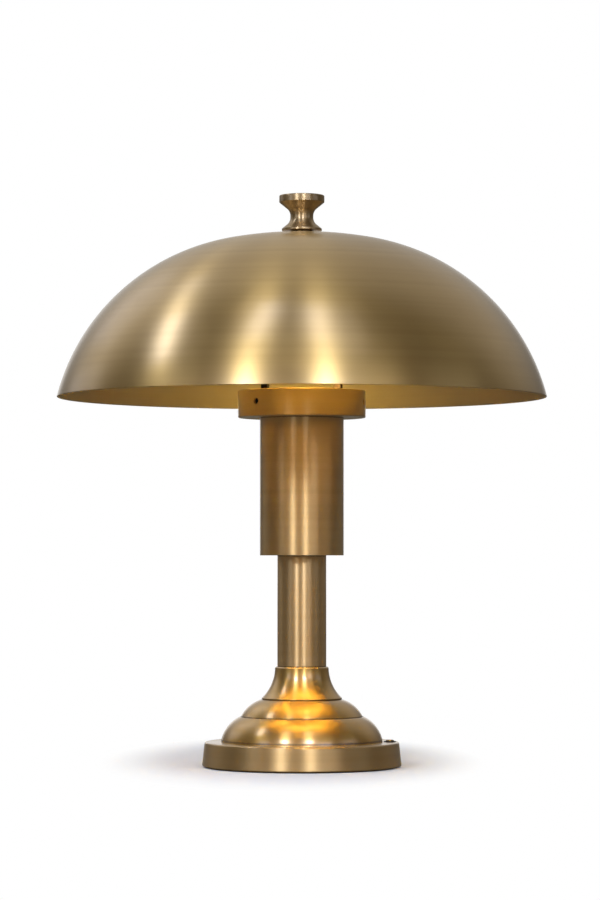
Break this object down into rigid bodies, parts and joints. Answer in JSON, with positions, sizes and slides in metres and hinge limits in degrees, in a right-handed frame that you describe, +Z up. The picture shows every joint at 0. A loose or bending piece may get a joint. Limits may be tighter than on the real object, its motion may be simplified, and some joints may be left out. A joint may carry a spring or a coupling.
{
  "type": "dome shade desk lamp",
  "caption": "Desk lamp with a wide spun brass dome on a hidden strap bracket, a stem with a wide sleeve round an upright bulb, and a stepped round base.",
  "frame": {"origin": "on the table under the stem's axis, at the underside of the felt pad", "axes": "+Z up along the stem; +X towards the push switch on the base; -Y towards the camera of the picture; the cord inlet is at +Y"},
  "size_m": [0.3999, 0.4, 0.4674],
  "materials": {
    "shade_brass": "brushed round the axis, satin, lightly aged",
    "stand_brass": "turned and satin brushed, aged brown",
    "collar_brass": "turned and satin brushed",
    "knob_brass": "turned, half polished",
    "trim_brass": "satin",
    "contact_brass": "bright stamped",
    "bracket_steel": "bronzed",
    "zinc_steel": "zinc plated",
    "black_steel": "blackened",
    "spring_steel": "drawn wire",
    "ballast_iron": "painted casting",
    "cap_alloy": "rolled thread",
    "black_glass": "vitrite",
    "opal_glass": "opal, lit warm white",
    "black_plastic": "moulded, fine texture",
    "pale_plastic": "moulded",
    "ceramic": "glazed",
    "black_rubber": "moulded",
    "lead_sleeving": "double insulated lead",
    "fibre": "vulcanised fibre",
    "felt": "pressed felt"
  },
  "bodies": {
    "stand": {"felt_pad": "felt", "bottom_cover": "zinc_steel", "cover_screws": "zinc_steel", "ballast_ring": "ballast_iron", "base_plate": "stand_brass", "step_screws": "zinc_steel", "lower_step": "stand_brass", "middle_step": "stand_brass", "cove_collar": "stand_brass", "stem_tube": "stand_brass", "tie_pipe": "zinc_steel", "lower_pipe_nut": "zinc_steel", "lower_pipe_washer": "zinc_steel", "upper_pipe_nut": "zinc_steel", "upper_pipe_washer": "zinc_steel", "sleeve_floor": "stand_brass", "sleeve_tube": "stand_brass", "collar_ring": "collar_brass", "collar_set_screws": "black_steel", "shade_bracket": "bracket_steel", "bracket_screws": "zinc_steel", "bracket_stud": "zinc_steel", "stud_nut": "zinc_steel", "shade_seat": "bracket_steel", "fibre_washer": "fibre", "holder_cap": "black_plastic", "holder_core": "ceramic", "holder_contact": "contact_brass", "holder_skirt": "black_plastic", "holder_liner": "contact_brass", "cord_grommet": "black_rubber", "terminal_block": "pale_plastic", "switch_lead": "lead_sleeving", "lamp_lead": "lead_sleeving", "switch_bush": "trim_brass", "switch_nut": "zinc_steel", "switch_body": "black_plastic", "switch_spring": "spring_steel"},
    "shade": {"shade_dome": "shade_brass"},
    "finial": {"finial_knob": "knob_brass", "finial_spacer": "knob_brass"},
    "bulb": {"bulb_glass": "opal_glass", "bulb_cap": "cap_alloy", "bulb_insulator": "black_glass", "bulb_tip": "cap_alloy"},
    "button": {"switch_button": "trim_brass"}
  },
  "joints": [
    {"name": "shade_turn", "type": "hinge", "parent": "stand", "child": "shade", "pos_m": [0, 0, 0.4355], "axis": [0, 0, 1], "continuous": true},
    {"name": "finial_turn", "type": "hinge", "parent": "stand", "child": "finial", "pos_m": [0, 0, 0.44], "axis": [0, 0, 1], "continuous": true},
    {"name": "bulb_turn", "type": "hinge", "parent": "stand", "child": "bulb", "pos_m": [0, 0, 0.22], "axis": [0, 0, 1], "continuous": true},
    {"name": "button_press", "type": "slide", "parent": "stand", "child": "button", "axis": [0, 0, -1], "range_m": [0, 0.001], "stiffness_N_per_m": 600, "deforming": ["switch_spring"]}
  ]
}
